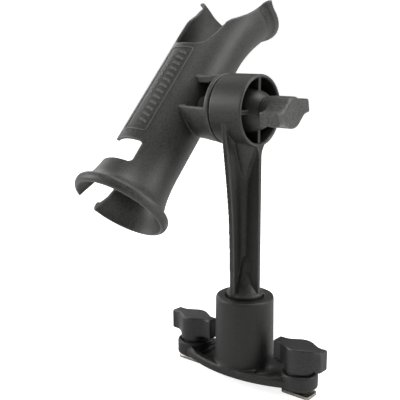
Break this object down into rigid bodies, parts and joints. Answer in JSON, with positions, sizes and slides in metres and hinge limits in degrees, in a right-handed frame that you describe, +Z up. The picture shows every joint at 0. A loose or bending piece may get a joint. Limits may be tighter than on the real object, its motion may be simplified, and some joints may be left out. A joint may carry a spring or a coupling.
{
  "type": "rod holder",
  "caption": "Fishing rod holder: an open-topped flared tube with a reel notch, on a tilting hub and splined post in an oval track base.",
  "frame": {"origin": "on the post's axis, in the plane of the base's flat underside", "axes": "+Z up the post, +X along the base's long axis from the rod tube to the tilt knob, +Y the way the tube's upper end leans"},
  "size_m": [0.1868, 0.2185, 0.3113],
  "materials": {
    "composite": "glass-filled nylon composite, dark charcoal, fine moulded texture, satin",
    "knob_plastic": "moulded black plastic, fine grain",
    "nylon": "smooth black nylon washer",
    "stainless": "stainless steel, satin",
    "brass": "plain turned brass",
    "rubber": "smooth black rubber"
  },
  "bodies": {
    "base": {"base_with_socket": "composite", "left_washer": "nylon", "right_washer": "nylon"},
    "post_ring": {"post_o_ring": "rubber"},
    "post": {"post_with_hub_drum": "composite"},
    "tube": {"rod_tube": "composite", "hub_bolt": "stainless"},
    "tilt_washer": {"tilt_washer": "nylon"},
    "tilt_knob": {"tilt_knob": "knob_plastic", "tilt_knob_insert": "brass"},
    "left_knob": {"left_knob": "knob_plastic", "left_knob_insert": "brass"},
    "right_knob": {"right_knob": "knob_plastic", "right_knob_insert": "brass"},
    "left_bolt": {"left_t_bolt": "stainless"},
    "right_bolt": {"right_t_bolt": "stainless"}
  },
  "joints": [
    {"name": "post_lift", "type": "slide", "parent": "base", "child": "post_ring", "axis": [0, 0, 1], "range_m": [0, 0.056]},
    {"name": "post_turn", "type": "hinge", "parent": "post_ring", "child": "post", "pos_m": [0, 0, 0.06], "axis": [0, 0, 1], "continuous": true},
    {"name": "tube_tilt", "type": "hinge", "parent": "post", "child": "tube", "pos_m": [-0.01665, 0, 0.2166], "axis": [1, 0, 0], "continuous": true},
    {"name": "tilt_clamp", "type": "slide", "parent": "tube", "child": "tilt_washer", "axis": [1, 0, 0], "range_m": [0, 0.0032]},
    {"name": "tilt_knob_turn", "type": "hinge", "parent": "tilt_washer", "child": "tilt_knob", "pos_m": [0.0222, 0, 0.2166], "axis": [1, 0, 0], "range_deg": [0, 900]},
    {"name": "left_knob_turn", "type": "hinge", "parent": "base", "child": "left_knob", "pos_m": [-0.054, 0, 0.0123], "axis": [0, 0, 1], "range_deg": [0, 720]},
    {"name": "right_knob_turn", "type": "hinge", "parent": "base", "child": "right_knob", "pos_m": [0.054, 0, 0.0123], "axis": [0, 0, 1], "range_deg": [0, 720]},
    {"name": "left_bolt_drop", "type": "slide", "parent": "base", "child": "left_bolt", "axis": [0, 0, -1], "range_m": [0, 0.0026]},
    {"name": "right_bolt_drop", "type": "slide", "parent": "base", "child": "right_bolt", "axis": [0, 0, -1], "range_m": [0, 0.0026]}
  ],
  "couplings": [
    {"joint": "tilt_clamp", "follows": "tilt_knob_turn", "m_per_rad": 0.00020213},
    {"joint": "left_bolt_drop", "follows": "left_knob_turn", "m_per_rad": 0.00020213},
    {"joint": "right_bolt_drop", "follows": "right_knob_turn", "m_per_rad": 0.00020213}
  ]
}
